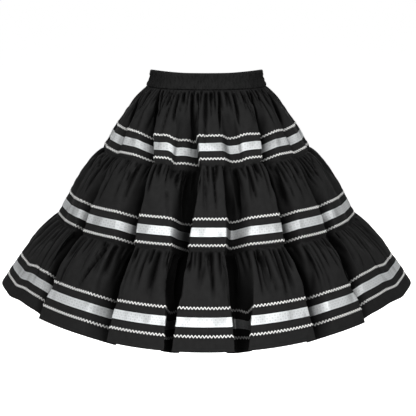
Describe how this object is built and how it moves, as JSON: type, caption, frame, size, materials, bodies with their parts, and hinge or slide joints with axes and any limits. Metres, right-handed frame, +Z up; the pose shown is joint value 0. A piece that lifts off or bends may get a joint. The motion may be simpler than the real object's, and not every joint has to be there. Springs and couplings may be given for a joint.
{
  "type": "square dance skirt",
  "caption": "Full tiered and gathered dance skirt with an elastic waistband, each tier trimmed with brocade ribbon between rows of rick rack.",
  "frame": {"origin": "middle of the wearer's waist, halfway up the waistband", "axes": "+Z up the wearer's body, -Y the front of the skirt, +X the right of the skirt as seen from the front"},
  "size_m": [0.9814, 0.8978, 0.5408],
  "materials": {
    "black_cloth": "black poly-cotton plain weave, matt",
    "black_waistband": "black poly-cotton casing over elastic, closely ruched",
    "silver_brocade": "silver-white metallic jacquard ribbon, soft sheen",
    "white_braid": "white polyester rick rack braid"
  },
  "bodies": {
    "root": {"waistband": "black_waistband", "tier_1_front": "black_cloth", "tier_1_back": "black_cloth", "tier_2_front": "black_cloth", "tier_2_back": "black_cloth", "tier_3_front": "black_cloth", "tier_3_back": "black_cloth", "ribbon_1": "silver_brocade", "ribbon_2": "silver_brocade", "ribbon_3": "silver_brocade", "rick_rack_1_upper": "white_braid", "rick_rack_1_lower": "white_braid", "rick_rack_2_upper": "white_braid", "rick_rack_2_lower": "white_braid", "rick_rack_3_upper": "white_braid", "rick_rack_3_lower": "white_braid"}
  },
  "joints": []
}
